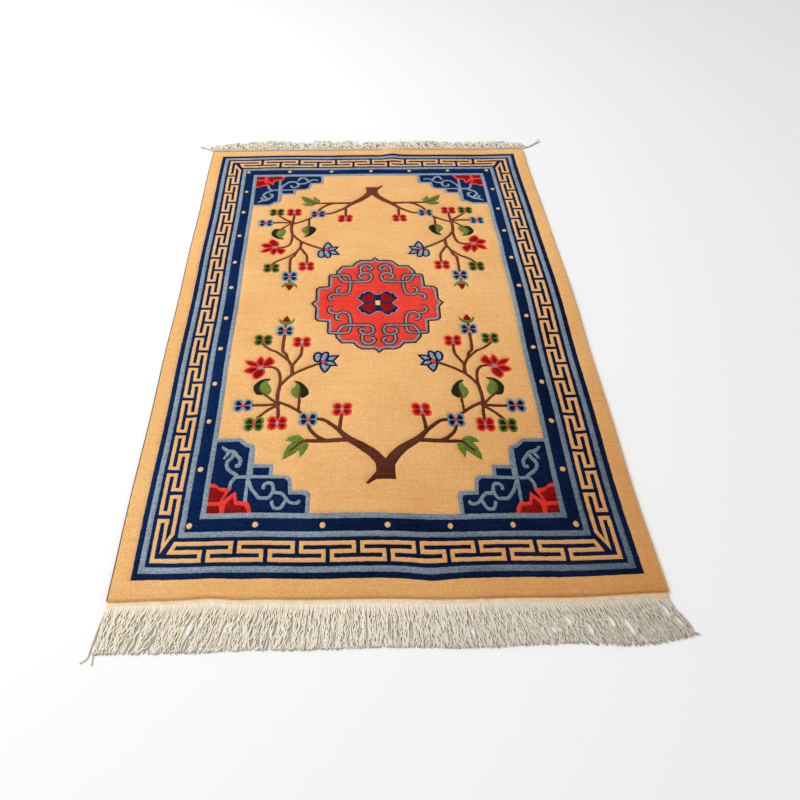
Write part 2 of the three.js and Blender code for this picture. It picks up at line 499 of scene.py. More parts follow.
@dataclass(frozen=True)
class Spandrel:
    """The stepped corner piece with its scrolls and a quarter of a lotus.

    It is drawn from the field's corner: the first figure runs inwards from the side stripe, the
    second from the end stripe.
    """

    chart: Chart
    quarter: Quarter
    corner: Point = (419, 701)
    line_width: float = 8.6

    def put(self, yarn: Yarn, outline: Sequence[Point]) -> None:
        """Adds a patch that is drawn from the field's corner."""
        x, y = self.corner
        self.chart.add(yarn, self.quarter.turned([(x - p, y - q) for p, q in outline]))

    def draw(self) -> None:
        """Adds the whole corner piece."""
        steps = [(57, 198), (78, 181), (91, 179), (97, 170), (100, 124), (147, 123), (149, 95)]
        steps += [(184, 94), (194, 85), (198, 55), (234, 55), (242, 47), (240, -4)]
        self.put(Yarn.SKY, [(-4, 198), *steps, (-4, -4)])
        self.put(Yarn.NAVY, [(0, 188), (54, 188), (74, 171), (83, 169), (88, 160), (88, 0), (0, 0)])
        low = [(88, 86), (177, 86), (186, 78), (189, 45), (224, 45), (231, 40), (230, 0), (88, 0)]
        self.put(Yarn.NAVY, low)
        self.put(Yarn.NAVY, [(99, 94), (138, 94), (138, 114), (99, 114)])
        self.put(Yarn.SKY, ribbon([(88, 168), (88, 22)], self.line_width))
        self.put(Yarn.SKY, ribbon([(58, 90), (100, 90)], self.line_width))
        for line, start, end in SCROLLS:
            self.put(Yarn.SKY, ribbon(smooth(line), start, end))
        self.lotus()

    def lotus(self) -> None:
        """Adds the quarter of a lotus in the very corner."""
        first = [(0, 75), (10, 74), (24, 64), (53, 60), (43, 45), (33, 29)]
        second = [(48, 42), (63, 54), (69, 29), (95, 26), (102, 14), (106, 0), (0, 0)]
        self.put(Yarn.CORAL, first + second)
        self.put(Yarn.RUBY, [(0, 65), (15, 63), (25, 55), (38, 51), (27, 28), (0, 28)])
        self.put(Yarn.RUBY, [(41, 0), (43, 21), (58, 38), (64, 20), (88, 17), (96, 0)])
        self.put(Yarn.RUBY, [(0, 19), (28, 18), (31, 0), (0, 0)])


SCROLLS = (
    ([(64, 90), (56, 98), (45, 105), (36, 113), (32, 124), (34, 134), (42, 142), (46, 152)], 9, 10),
    ([(32, 161), (42, 160), (50, 154), (54, 148), (62, 140), (65, 130), (62, 120), (53, 121)], 9.5, 9.5),
    ([(14, 175), (22, 167), (34, 159)], 5, 12),
    ([(34, 158), (28, 149), (22, 140)], 10, 6),
    ([(58, 90), (49, 77), (47, 61)], 9, 9),
    ([(90, 84), (100, 60), (110, 47), (119, 37), (131, 36), (143, 37), (150, 49), (153, 60)], 8.6, 8.6),
    ([(152, 56), (151, 66), (147, 72), (138, 74), (130, 69), (128, 58)], 8.6, 8.6),
    ([(152, 50), (163, 49), (172, 48), (184, 36), (191, 28), (198, 24), (211, 24), (216, 31)], 8.5, 7.5),
    ([(186, 35), (178, 20), (171, 11), (158, 11), (154, 18), (150, 25), (155, 27)], 8.5, 7.5),
)


@dataclass(frozen=True)
class Spray:
    """The flowering branches of one quarter."""

    chart: Chart
    quarter: Quarter

    def put(self, yarn: Yarn, outline: Sequence[Point], at: Point = (0, 0)) -> None:
        """Adds a patch that is drawn about a place of the quarter."""
        self.chart.add(yarn, self.quarter.turned(outline, at))

    def draw(self) -> None:
        """Adds the branches, then the leaves, flowers and bud on them."""
        for line, start, end in BRANCHES:
            self.put(Yarn.BARK, ribbon(smooth(line, steps=3), start, end))
        self.put(Yarn.BARK, disc((276, 400), 8, 8))
        self.leaves()
        for at in ((366, 402), (191, 448), (272, 122)):
            self.blossom(at, Yarn.SKY, Yarn.NAVY, Yarn.CORAL)
        for at in ((272, 461), (100, 417), (220, 168)):
            self.blossom(at, Yarn.CORAL, Yarn.RUBY, Yarn.SKY)
        for at in ((332, 463), (331, 160)):
            self.blossom(at, Yarn.LEAF, Yarn.PINE, Yarn.CORAL)
        red = [smooth(petal, True, 2) for petal in RED_PETALS]
        self.lotus((329, 269), red, (-1.6, 3.9), (Yarn.CORAL, Yarn.RUBY, Yarn.SKY))
        self.lotus((155, 248), BLUE_PETALS, (-5.6, 0.7), (Yarn.NAVY, Yarn.SKY, Yarn.CORAL))
        self.bud((271, 72))

    def blossom(self, at: Point, rim: Yarn, petal: Yarn, heart: Yarn) -> None:
        """Adds a small flower of four round petals.

        Args:
            at: Its middle.
            rim: The yarn round the petals.
            petal: The yarn of the petals.
            heart: The yarn of the dot.
        """
        for x in (-13, 13):
            for y in (-9, 9):
                self.put(rim, disc((x, y), 13, 13), at)
        self.put(rim, disc((0, 0), 10, 12), at)
        for x in (-1, 1):
            for y in (-1, 1):
                leaf = [(3, 1.8), (10, 1.3), (17.5, 2), (20, 7), (17.5, 13.8), (12, 16.5), (7, 11.5)]
                self.put(petal, smooth([(a * x, b * y) for a, b in leaf], True, 2), at)
        self.put(heart, disc((0, 0), 5.2, 6.8, 10), at)

    def lotus(self, at: Point, petals: Sequence[Line], depths: Point, yarns: Sequence[Yarn]) -> None:
        """Adds a lotus of pointed petals.

        Args:
            at: Its heart.
            petals: The petals' outlines about the heart.
            depths: How far within these the rims end, and the petals proper.
            yarns: The yarns of the rims, the petals and the heart.
        """
        rim_yarn, petal_yarn, heart_yarn = yarns
        for yarn, depth in zip((rim_yarn, petal_yarn), depths, strict=True):
            for petal in petals:
                self.put(yarn, inset(petal, depth), at)
        self.put(heart_yarn, disc((0, 0), 7.8, 6.2, 10), at)

    def leaves(self) -> None:
        """Adds the two curled leaves and the lobed one, with the twigs that run into them."""
        for at, dark, light, vein in CURLED_LEAVES:
            self.put(Yarn.PINE, smooth(dark, True, 2), at)
            self.put(Yarn.LEAF, smooth(light, True, 2), at)
            self.put(Yarn.BARK, ribbon(smooth(vein), 8, 4), at)
        self.put(Yarn.LEAF, LOBED_LEAF, (212, 538))
        self.put(Yarn.BARK, ribbon([(188, 512), (200, 513), (214, 524), (235, 542)], 9, 4))

    def bud(self, at: Point) -> None:
        """Adds a closed bud between two sepals.

        Args:
            at: Its middle.
        """
        outside = [(-25, -2), (-24, 9), (-16, 20), (-6, 26), (6, 26), (15, 20), (22, 9), (22, -3)]
        self.put(Yarn.LEAF, [*outside, (14, 5), (7, 12), (-7, 12), (-17, 5)], at)
        drop = [(-9, 12), (-10.5, 4), (-6, -5), (0, -14), (6, -5), (10.5, 4), (9, 12)]
        self.put(Yarn.RUBY, smooth(drop, True, 2), at)


RED_PETALS = (
    [(-8, -3), (-20, -6), (-34, -15), (-35, -26), (-22, -41), (-11, -29), (-3, -13)],
    [(9, -1), (21, -5), (34, -10), (45, -27), (30, -28), (17, -22), (6, -12)],
    [(7, 8), (17, 17), (28, 21), (45, 13), (38, 1), (26, -4), (10, -2)],
    [(-6, -8), (-9, -21), (-5, -33), (2, -43), (10, -33), (14, -21), (8, -8)],
    [(-6, 3), (-12, 14), (-8, 28), (1, 37), (11, 42), (20, 32), (20, 18), (10, 4)],
)
BLUE_PETALS = (
    [(18, -35), (23, -32), (26, -24), (26, -15), (23, -7), (18, -4)]
    + [(14, -6), (12, -14), (10, -22), (11, -30), (14, -34)],
    [(-4, -36), (1, -33), (4, -26), (7, -16), (9, -9), (8, -5)]
    + [(0, -6), (-6, -14), (-9, -22), (-10, -30), (-8, -35)],
    [(-12, -8), (-12, -13), (-15, -18), (-23, -21), (-35, -21), (-31, -15), (-26, -8), (-23, -6)],
    [(-8, -1), (-21, -1), (-27, 4), (-31, 11), (-26, 11), (-15, 11), (-8, 7)],
    [(7, 6), (8, 13), (5, 23), (0, 32), (-3, 35), (-6, 32), (-12, 21), (-15, 15), (-7, 12), (-1, 8)],
)
BRANCHES = (
    ([(12, 572), (26, 552), (51, 529), (75, 512), (93, 495), (107, 478)], 28.2, 12),
    ([(74, 510), (120, 512), (160, 513), (194, 513)], 13, 10),
    ([(104, 482), (125, 465), (148, 450), (172, 447)], 12, 9),
    ([(104, 486), (102, 458), (100, 430)], 11, 9),
    ([(134, 514), (162, 502), (184, 480), (190, 462)], 10.5, 10),
    ([(190, 444), (217, 424), (246, 405), (276, 392)], 9, 9),
    ([(219, 424), (219, 400), (219, 372)], 8, 7),
    ([(276, 398), (272, 425), (272, 450)], 10, 9),
    ([(276, 404), (300, 420), (328, 447)], 9, 8),
    ([(276, 400), (312, 403), (352, 402)], 9, 8.5),
    ([(276, 402), (277, 366), (272, 328)], 11.5, 10),
    ([(272, 336), (274, 305), (279, 283), (291, 270), (308, 266), (322, 268)], 9, 8.5),
    ([(271, 334), (257, 312), (242, 296)], 9, 9),
    ([(243, 296), (215, 277), (185, 261), (164, 252)], 9, 9.5),
    ([(242, 298), (242, 280), (244, 258)], 11, 10),
    ([(242, 266), (250, 250), (258, 234)], 9.5, 9.5),
    ([(256, 240), (284, 212), (306, 200), (327, 182), (331, 170)], 8, 8.5),
    ([(257, 238), (262, 218), (272, 205), (273, 170), (272, 134)], 9.5, 9.5),
    ([(244, 262), (231, 240), (220, 217), (219, 182)], 9, 9),
    ([(272, 112), (272, 90)], 8.5, 8.5),
)
CURLED_LEAVES = (
    (
        (321, 343),
        [(-8, 24), (11, 24), (19, 14), (23, 0), (19, -14), (8, -26), (-4, -32)]
        + [(-20, -34), (-21, -28), (-8, -25), (2, -14), (7, 0), (2, 12)],
        [(-16, 27), (-26, 14), (-26, 3), (-21, -9), (-15, -17)]
        + [(-16, -28), (-6, -25), (3, -14), (7, -2), (2, 12)],
        [(-46, 58), (-17, 30), (-5, 20), (4, 9), (7, -4)],
    ),
    (
        (220, 355),
        [(-8, 24), (-19, 18), (-26, 10), (-26, 0), (-21, -13), (-11, -26), (1, -35)]
        + [(11, -37), (15, -34), (8, -30), (0, -22), (-3, -10), (-3, 10)],
        [(-3, 24), (8, 24), (17, 15), (23, 4), (19, -9), (11, -18)]
        + [(9, -25), (11, -32), (1, -24), (-3, -12), (-3, 8)],
        [(-2, 40), (-2, 10), (-4, -13)],
    ),
)
LOBED_LEAF = [
    (-19, -24), (-27, -14), (-24, -3), (-15, 9), (-5, 24), (-3, 8), (-1, 1), (8, 9), (25, 21),
    (39, 28), (36, 8), (29, -9), (18, -22), (36, -24), (27, -35), (15, -41), (1, -41), (-9, -35),
    (-13, -28),
]


@dataclass(frozen=True)
class Medallion:
    """The lobed round medallion with its cloud scrolls and four-petalled flower."""

    chart: Chart
    centre: Point = (2, -4)
    edge_width: float = 5.8
    band_width: float = 12.8
    line_width: float = 6.2
    line_edge: float = 3.8

    def put(self, yarn: Yarn, outline: Sequence[Point]) -> None:
        """Adds a patch that is drawn about the medallion's centre."""
        self.chart.add(yarn, [(x + self.centre[0], y + self.centre[1]) for x, y in outline])

    def draw(self) -> None:
        """Adds the whole medallion."""
        quarter = [(0, 211), (12, 197.5), (48, 197), (62, 189), (75, 172), (108, 171), (126, 146)]
        quarter += [(127, 134), (146, 132), (151, 126), (152, 80), (181, 77), (190, 67), (190, 18), (204, 0)]
        outline = inset(four_ways(quarter), -1.2)
        self.put(Yarn.UMBER, outline)
        self.put(Yarn.SKY, inset(outline, self.edge_width))
        self.put(Yarn.CORAL, inset(outline, self.band_width))
        for quarter_turn in QUARTERS:
            for line in CLOUD_LINES:
                laid = quarter_turn.turned(smooth(line, steps=2))
                self.put(Yarn.UMBER, ribbon(laid, self.line_width + 2 * self.line_edge))
                self.put(Yarn.SKY, ribbon(laid, self.line_width))
        self.flower()

    def flower(self) -> None:
        """Adds the flower in the middle."""
        rim = [(0, 38), (9, 41), (17, 50), (29, 55), (38, 51), (41, 45), (49, 45), (56, 38), (56, 32)]
        rim = four_ways([*rim, (65, 26), (61, 17), (54, 10), (46, 0)])
        self.put(Yarn.SKY, rim)
        self.put(Yarn.NAVY, inset(rim, 2.6))
        petal = [(7, 3), (37, 3), (45, 8), (51, 18), (49, 24), (42, 25), (44, 32), (38, 35), (32, 33)]
        petal += [(30, 41), (24, 43), (18, 40), (11, 32), (8, 18)]
        for quarter in QUARTERS:
            self.put(Yarn.RUBY, quarter.turned(petal))
        self.put(Yarn.CREAM, [(-7, -10), (7, -10), (8, 0), (7, 10), (-7, 10), (-8, 0)])


CLOUD_LINES = (
    [(144, 125), (118, 128), (94, 127), (85, 117), (83, 96), (84, 70), (88, 50)]
    + [(98, 40), (112, 39), (123, 48), (126, 61), (120, 71), (111, 70)],
    [(124, 42), (136, 43), (146, 37), (149, 27), (145, 18), (136, 19)],
    [(121, 126), (113, 110), (104, 98), (92, 96), (60, 96), (29, 97), (19, 104)]
    + [(15, 117), (19, 130), (31, 136), (46, 133), (55, 123), (51, 113), (40, 115)],
    [(47, 137), (49, 152), (45, 167), (33, 175), (20, 172), (12, 160), (17, 151), (28, 155)],
)


# ---------------------------------------------------------------- the pile


def inside(spots: np.ndarray, outline: np.ndarray) -> np.ndarray:
    """Whether each spot lies in a closed outline, however the outline crosses itself.

    Args:
        spots: Points, one a row.
        outline: The outline's points, one a row.

    Returns:
        True or False for each spot.
    """
    near = np.flatnonzero(((spots >= outline.min(0)) & (spots <= outline.max(0))).all(axis=1))
    x, y = spots[near].T
    winding = np.zeros(len(near), int)
    for (ax, ay), (bx, by) in zip(outline, np.roll(outline, -1, axis=0), strict=True):
        side = (bx - ax) * (y - ay) - (by - ay) * (x - ax)
        winding += (ay <= y) & (by > y) & (side > 0)
        winding -= (ay > y) & (by <= y) & (side < 0)
    found = np.zeros(len(spots), bool)
    found[near[winding != 0]] = True
    return found


@dataclass
class Net:
    """A triangulated plan: its points, and its triangles as rows of three of them."""

    spots: np.ndarray
    faces: np.ndarray

    @classmethod
    def over(cls, spots: np.ndarray, edges: Sequence[tuple[int, int]]) -> "Net":
        """Triangulates points so that all edges are kept.

        Args:
            spots: The points, one a row.
            edges: Pairs of points that have to be joined.

        Returns:
            The net, whose triangles run counter-clockwise.
        """
        nearest = 1e-4
        found = delaunay_2d_cdt([Vector(s) for s in spots.tolist()], edges, [], 0, nearest, False)
        placed = np.array([tuple(v) for v in found[0]])
        faces = np.array(found[2])
        a, b, c = (placed[faces[:, k]] for k in range(3))
        turned = (b - a)[:, 0] * (c - a)[:, 1] - (b - a)[:, 1] * (c - a)[:, 0] < 0
        faces[turned] = faces[turned][:, ::-1]
        return cls(placed, faces)

    def middles(self) -> np.ndarray:
        """The middle of each triangle."""
        return self.spots[self.faces].mean(axis=1)

    def edges_between(self, kinds: np.ndarray) -> np.ndarray:
        """The edges with another kind of triangle on their other side.

        Args:
            kinds: The kind of each triangle.

        Returns:
            The edges, as pairs of points.
        """
        pairs = np.sort(self.faces[:, [[0, 1], [1, 2], [2, 0]]].reshape(-1, 2), axis=1)
        kind = np.repeat(kinds, 3)
        order = np.lexsort(pairs.T)
        pairs, kind = pairs[order], kind[order]
        twin = (pairs[1:] == pairs[:-1]).all(axis=1)
        return pairs[:-1][twin & (kind[1:] != kind[:-1])]


@dataclass
class Pile:
    """The knotted wool body: a closed cloth whose colours meet in shallow carved grooves."""

    weave: Weave
    thickness: float = 11
    shoulder: float = 2.5
    shoulder_run: float = 4
    groove_depth: float = 2.0
    groove_reach: float = 2.4
    groove_clear: float = 0.82
    groove_apart: float = 1.5
    shoulder_loops: Point = (1.2, 2.6)
    rim_clear: float = 0.6
    stretch: float = 7
    plain_cell: float = 13
    plain_clear: float = 5
    unevenness: float = 0.3
    unevenness_length: float = 70
    side_profile: tuple[Point, ...] = ((0.9, 5.8), (0.9, 2.6), (0.2, 0))
    under_cell: float = 60
    under_cell_ridge: float = 15
    under_margin: float = 10
    under_clear: float = 6
    under_slack: float = 0.5
    under_stretch: float = 40

    def build(self) -> bpy.types.Object:
        """Makes the pile's mesh, whose faces take the material index of their yarn.

        Returns:
            The piece.
        """
        chart = Chart()
        rim = self.loop(0)
        outlines = [(Yarn.CAMEL.value, rim)]
        for patch in chart.patches:
            outlines.append((patch.yarn.value, self.weave.pattern(divided(patch.outline, self.stretch))))
        rough = self.joined(outlines)
        seams = rough.edges_between(self.yarns_of(rough, outlines))
        net, is_seam = self.refined(rough.spots, seams, rim)
        yarns = self.yarns_of(net, outlines)
        between = self.loop(self.shoulder_run, -self.shoulder_run)
        # the shoulder band along the long sides takes the overcast sides' wool, whose painted shade darkens
        # the left side
        yarns[~inside(net.middles(), between)] = Yarn.SELVEDGE_PAINTED_SHADE.value
        mesh = self.solid(net, yarns, self.heights(net.spots, is_seam, rim), outlines)
        log.info("pile: %d patches, %d faces", len(chart.patches), len(mesh.polygons))
        return bpy.data.objects.new("wool_pile", mesh)

    def base(self, inward: float, end_inward: float | None = None) -> Line:
        """The pile's true rectangle, moved inwards at its sides and, if told, otherwise at its ends."""
        at_end = inward if end_inward is None else end_inward
        return rectangle(self.weave.half_width - inward, self.weave.pile_half_length - at_end)

    def loop(self, inward: float, end_inward: float | None = None) -> np.ndarray:
        """The same outline where the weave has it."""
        return self.weave.edge(divided(self.base(inward, end_inward), self.stretch))

    def joined(self, outlines: Outlines) -> Net:
        """Triangulates outlines together.

        Args:
            outlines: The outlines, each with its yarn.

        Returns:
            The net, which keeps all stretches of the outlines.
        """
        spots, edges = [], []
        for _, outline in outlines:
            first, count = sum(map(len, spots)), len(outline)
            edges += [(first + i, first + (i + 1) % count) for i in range(count)]
            spots.append(outline)
        return Net.over(np.concatenate(spots), edges)

    def yarns_of(self, net: Net, outlines: Outlines) -> np.ndarray:
        """The yarn of each triangle.

        Args:
            net: The triangles.
            outlines: The outlines, each with its yarn. A later one covers an earlier one.

        Returns:
            The yarns' numbers, with -1 outside of the rug.
        """
        middles = net.middles()
        kinds = np.full(len(middles), -1)
        for kind, outline in outlines:
            kinds[inside(middles, outline)] = kind
        return kinds

    def refined(self, spots: np.ndarray, seams: np.ndarray, rim: np.ndarray) -> tuple[Net, np.ndarray]:
        """Triangulates again, with points beside each seam and over the plain ground.

        Args:
            spots: The points that the seams join.
            seams: The edges between two yarns, and those of the rim.
            rim: The pile's outline.

        Returns:
            The net, and whether each of its points lies on a seam between two yarns.
        """
        used, edges = np.unique(seams, return_inverse=True)
        kept, edges = spots[used], edges.reshape(-1, 2)
        a, b = kept[edges[:, 0]], kept[edges[:, 1]]
        length = np.hypot(*(b - a).T)[:, None]
        normal = np.stack([(a - b)[:, 1], (b - a)[:, 0]], axis=1) / np.maximum(length, 1e-6)
        samples = np.concatenate([a + (b - a) * t for t in (0.0, 0.2, 0.4, 0.6, 0.8)])
        beside = np.concatenate([(a + b) / 2 + normal * side * self.groove_reach for side in (-1, 1)])
        beside = self.clear_of(beside, self.tree(samples), self.groove_reach * self.groove_clear)
        beside = self.thinned(beside, self.groove_apart)
        shoulders = [self.loop(inward) for inward in (*self.shoulder_loops, self.shoulder_run)]
        taken = self.tree(np.concatenate([samples, beside]))
        plain = self.clear_of(self.ground(self.plain_cell), taken, self.plain_clear)
        added = np.concatenate([beside, *shoulders, plain])
        added = added[inside(added, self.loop(self.rim_clear))]
        net = Net.over(np.concatenate([kept, added]), edges.tolist())
        net.faces = net.faces[inside(net.middles(), rim)]
        seam_tree, rim_tree, near = self.tree(kept), self.tree(rim), 0.01
        is_seam = [
            seam_tree.find((x, y, 0))[2] < near and rim_tree.find((x, y, 0))[2] > near
            for x, y in net.spots
        ]
        return net, np.array(is_seam)

    @staticmethod
    def tree(spots: np.ndarray) -> KDTree:
        """Makes a search tree.

        Args:
            spots: Points of the plan, one a row.

        Returns:
            The tree.
        """
        made = KDTree(len(spots))
        for i, (x, y) in enumerate(spots):
            made.insert((x, y, 0), i)
        made.balance()
        return made

    @staticmethod
    def clear_of(spots: np.ndarray, tree: KDTree, distance: float) -> np.ndarray:
        """The spots that are at least a distance from all points of a tree."""
        return spots[[tree.find((x, y, 0))[2] >= distance for x, y in spots]]

    @staticmethod
    def thinned(spots: np.ndarray, distance: float) -> np.ndarray:
        """The spots without those that share a small square with an earlier one."""
        _, first = np.unique(np.round(spots / distance), axis=0, return_index=True)
        return spots[np.sort(first)]

    def ground(self, cell: float) -> np.ndarray:
        """Points over the whole rug in staggered rows.

        Args:
            cell: How far apart they are.

        Returns:
            The points, one a row.
        """
        row = cell * math.sqrt(3) / 2
        x, y = np.meshgrid(
            np.arange(-self.weave.half_width, self.weave.half_width, cell, dtype=float),
            np.arange(-self.weave.pile_half_length, self.weave.pile_half_length, row),
        )
        x[1::2] += cell / 2
        return np.stack([x.ravel(), y.ravel()], axis=1) + self.weave.centre

    def heights(self, spots: np.ndarray, is_seam: np.ndarray, rim: np.ndarray) -> np.ndarray:
        """The pile's height at each point of its plan.

        Args:
            spots: The points, one a row.
            is_seam: Whether two yarns meet there.
            rim: The pile's outline.

        Returns:
            The heights.
        """
        tree = self.tree(divided(rim, 1))
        fall = np.array([min(tree.find((x, y, 0))[2] / self.shoulder_run, 1) for x, y in spots])
        wave = np.array([noise.noise((x, y, 3.5)) for x, y in spots / self.unevenness_length])
        top = self.thickness - self.shoulder * (1 - fall) ** 2 + self.unevenness * wave
        return top + self.weave.lift(spots) - self.groove_depth * is_seam

    def solid(
        self, net: Net, yarns: np.ndarray, heights: np.ndarray, outlines: Outlines
    ) -> bpy.types.Mesh:
        """Closes the surface with rounded sides and a flat underside.

        Args:
            net: The plan.
            yarns: The yarn of each triangle.
            heights: The height of each point.
            outlines: The pile's outline and those of its patches, each with its yarn.

        Returns:
            The mesh.
        """
        bm = bmesh.new()
        verts = {}
        for i in np.unique(net.faces).tolist():
            verts[i] = bm.verts.new((net.spots[i, 0] * MM, net.spots[i, 1] * MM, heights[i] * MM))
        for face, yarn in zip(net.faces.tolist(), yarns.tolist(), strict=True):
            bm.faces.new([verts[i] for i in face]).material_index = yarn
        edges = [e for e in bm.edges if e.is_boundary]
        starts = {v: np.array(v.co.xy) / MM for e in edges for v in e.verts}
        for out, height in self.side_profile:
            made = bmesh.ops.extrude_edge_only(bm, edges=edges)["geom"]
            lower = {}
            for vert in (g for g in made if isinstance(g, bmesh.types.BMVert)):
                above = next(e.other_vert(vert) for e in vert.link_edges if e.other_vert(vert) in starts)
                lower[vert] = start = starts[above]
                vert.co.xy = Vector((start + self.outward(start) * out) * MM)
                vert.co.z = (height + float(self.weave.lift(start[None])[0])) * MM
            starts = lower
            edges = [g for g in made if isinstance(g, bmesh.types.BMEdge) and g.is_boundary]
            # the long sides take the overcast sides' wool, whose painted shade darkens the left side
            for face in (g for g in made if isinstance(g, bmesh.types.BMFace)):
                if self.outward(np.array(face.calc_center_median().xy) / MM)[0]:
                    face.material_index = Yarn.SELVEDGE_PAINTED_SHADE.value
        self.underside(bm, edges, outlines)
        bmesh.ops.recalc_face_normals(bm, faces=bm.faces)
        return fill(bpy.data.meshes.new("wool_pile"), bm)

    def outward(self, spot: np.ndarray) -> np.ndarray:
        """The way out of the rug, straight through its nearest side or end.

        Args:
            spot: A spot of its outline.

        Returns:
            The way, of length 1.
        """
        x, y = spot - self.weave.centre
        by_side = self.weave.half_width - abs(x) < self.weave.pile_half_length - abs(y)
        return np.array([math.copysign(1, x), 0]) if by_side else np.array([0, math.copysign(1, y)])

    def underside(
        self, bm: bmesh.types.BMesh, edges: Sequence[bmesh.types.BMEdge], outlines: Outlines
    ) -> None:
        """Closes the floor side, which follows the ridge and shows the knots' backs in the same yarns.

        Args:
            bm: The mesh so far.
            edges: Its open edges.
            outlines: The pile's outline and those of its patches, each with its yarn.
        """
        outlines = [(yarn, self.simpler(line)) for yarn, line in outlines]
        rough = self.joined(outlines)
        yarns = np.maximum(self.yarns_of(rough, outlines), Yarn.CAMEL.value)
        used, pairs = np.unique(rough.edges_between(yarns), return_inverse=True)
        seams = rough.spots[used]
        middle = Vector(self.weave.centre) * MM
        ring = list({v for e in edges for v in e.verts})
        ring.sort(key=lambda v: math.atan2(v.co.y - middle.y, v.co.x - middle.x))
        outline = np.array([v.co.xy for v in ring]) / MM
        fine = self.ground(self.under_cell_ridge)
        inner = np.concatenate([self.ground(self.under_cell), fine[self.weave.lift(fine) > 0]])
        inner = inner[inside(inner, self.weave.edge(self.base(self.under_margin)))]
        inner = self.thinned(inner, self.under_cell_ridge / 2)
        inner = self.clear_of(inner, self.tree(seams), self.under_clear)
        joins = [(i, (i + 1) % len(ring)) for i in range(len(ring))]
        joins += (pairs.reshape(-1, 2) + len(ring)).tolist()
        net = Net.over(np.concatenate([outline, seams, inner]), joins)
        added = net.spots[len(ring) :]
        verts = ring + [
            bm.verts.new((x * MM, y * MM, up * MM))
            for (x, y), up in zip(added, self.weave.lift(added), strict=True)
        ]
        net.faces = net.faces[inside(net.middles(), outline)]
        yarns = np.maximum(self.yarns_of(net, outlines), Yarn.CAMEL.value)
        for face, yarn in zip(net.faces.tolist(), yarns.tolist(), strict=True):
            bm.faces.new([verts[i] for i in reversed(face)]).material_index = yarn

    def simpler(self, line: np.ndarray) -> np.ndarray:
        """An outline without the points that lie on the way from one kept point to the next.

        Args:
            line: The closed outline, one point a row.

        Returns:
            What is left of it.
        """
        kept = [0]
        for i in range(1, len(line) - 1):
            way = line[i + 1] - line[kept[-1]]
            between = line[kept[-1] + 1 : i + 1] - line[kept[-1]]
            off = np.abs(between @ (-way[1], way[0])) / max(float(np.hypot(*way)), self.under_slack)
            if off.max() > self.under_slack or np.hypot(*way) > self.under_stretch:
                kept.append(i)
        return line[[*kept, len(line) - 1]]


# ---------------------------------------------------------------- ledges and fringes


class End(Enum):
    """The two ends of the rug, by the sign of their y."""

    NEAR = -1
    FAR = 1


@dataclass
class Ledge:
    """The short flat-woven strip between the pile and the fringe."""

    weave: Weave
    end: End
    thickness: float = 3
    tuck: float = 1.5
    cell: float = 4
    rib: float = 0.35
    ribs: int = 5
    steps_per_rib: int = 4
    unevenness_length: Point = (6, 3)
    side_gap: float = 0.3
    side_height: float = 0.6
    side_run: float = 3
    floor_gap: float = 0.05

    def build(self) -> bpy.types.Object:
        """Makes the strip, with its weft ribs.

        Returns:
            The piece.
        """
        start = self.weave.pile_half_length - self.tuck
        columns = round(2 * self.weave.half_width / self.cell)
        rows = self.ribs * self.steps_per_rib
        bm = bmesh.new()
        bmesh.ops.create_grid(bm, x_segments=columns, y_segments=rows, size=1)
        flat = np.array([v.co.xy for v in bm.verts])
        y = self.end.value * (start + (flat[:, 1] + 1) / 2 * (self.weave.ledge_half_length - start))
        x = flat[:, 0] * (self.weave.half_width - self.side_gap)
        placed = self.weave.edge(np.stack([x, y], axis=1))
        lift = self.weave.lift(placed)
        for vert, (a, b), (px, py), up in zip(bm.verts, flat, placed, lift, strict=True):
            rib = abs(math.sin((b + 1) / 2 * self.ribs * math.pi))
            across, along = self.unevenness_length
            tight = noise.noise((px / across, py / along, 1)) * self.rib
            edge = min((1 - abs(a)) * self.weave.half_width / self.side_run, 1)
            full = self.side_height + (1 - self.side_height) * edge
            height = (self.thickness - self.rib * 2) * full + self.rib * rib + tight
            vert.co = Vector((px, py, up + height)) * MM
        self.close(bm)
        mesh = fill(bpy.data.meshes.new("ledge"), bm)
        log.info("%s ledge: %d faces", self.end.name.lower(), len(mesh.polygons))
        return bpy.data.objects.new(f"ledge_{self.end.name.lower()}", mesh)

    def close(self, bm: bmesh.types.BMesh) -> None:
        """Gives the strip its edges and its floor side.

        Args:
            bm: The strip's upper side.
        """
        made = bmesh.ops.extrude_face_region(bm, geom=list(bm.faces), use_keep_orig=True)["geom"]
        low = [g for g in made if isinstance(g, bmesh.types.BMVert)]
        ups = self.weave.lift(np.array([v.co.xy for v in low]) / MM)
        for vert, up in zip(low, ups, strict=True):
            vert.co.z = (up + self.floor_gap) * MM
        bmesh.ops.recalc_face_normals(bm, faces=bm.faces)


@dataclass(frozen=True)
class Lie:
    """How the cords lie at one place across an end, with their lean in degrees."""

    x: float
    lean: float
    length: float


@dataclass(frozen=True)
class Loose:
    """A loose selvedge cord at a corner: its middle line, and its half thickness along it."""

    line: tuple[Point, ...]
    half: tuple[float, ...]


NEAR_LIES = tuple(
    Lie(*row)
    for row in (
        (-608, -2, 95), (-540, -18, 98), (-380, -20, 98), (-250, -10, 90), (-100, -2, 87),
        (50, 3, 85), (200, 14, 89), (350, 20, 84), (500, 23, 93), (608, 24, 74),
    )
)
FAR_LIES = tuple(
    Lie(*row)
    for row in (
        (-608, -30, 26), (-568, -14, 38), (-509, -6, 50), (-430, 2, 62), (-349, 6, 56),
        (-269, -3, 51), (-209, -5, 60), (-108, 4, 58), (20, -4, 46), (112, 2, 52),
        (212, 6, 50), (332, -3, 44), (452, 5, 45), (531, 12, 39), (608, 30, 26),
    )
)
NEAR_LOOSE = (
    Loose(
        ((-605, -901), (-612, -942), (-618, -993), (-620, -1010), (-633, -1020)),
        (2, 1.7, 1.5, 1.5, 1.2),
    ),
    Loose(
        ((-602, -901), (-607, -953), (-610, -989), (-609, -1006), (-607, -1024)),
        (2, 1.6, 1.5, 1.4, 1.1),
    ),
)
